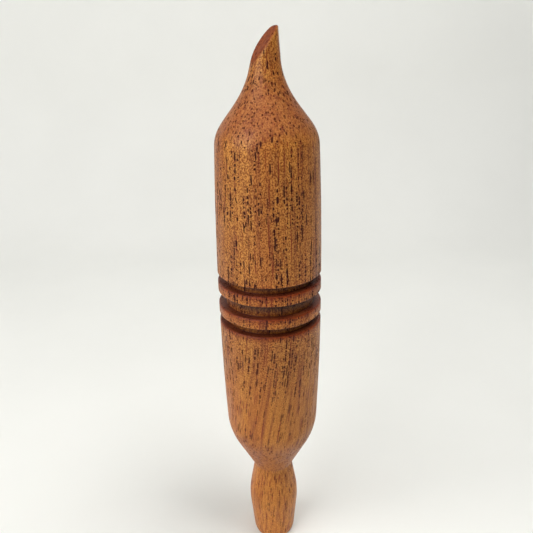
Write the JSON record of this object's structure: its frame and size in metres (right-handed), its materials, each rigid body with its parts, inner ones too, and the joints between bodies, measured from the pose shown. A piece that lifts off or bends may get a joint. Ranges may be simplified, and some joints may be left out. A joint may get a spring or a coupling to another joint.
{
  "type": "leather edge slicker",
  "caption": "One-piece turned hardwood edge slicker for burnishing leather: grooved barrel, angled beak tip and a small waisted foot that it stands on.",
  "frame": {"origin": "centre of the foot's flat face, on the turning axis", "axes": "+Z along the turning axis, from the foot to the beak; the beak's facet faces -X, turned 22 degrees towards -Y"},
  "size_m": [0.025, 0.025, 0.1348],
  "materials": {
    "oiled_hardwood": "open-pored reddish brown hardwood, turned, sanded and oiled to a satin sheen"
  },
  "bodies": {
    "root": {"slicker_body": "oiled_hardwood"}
  },
  "joints": []
}
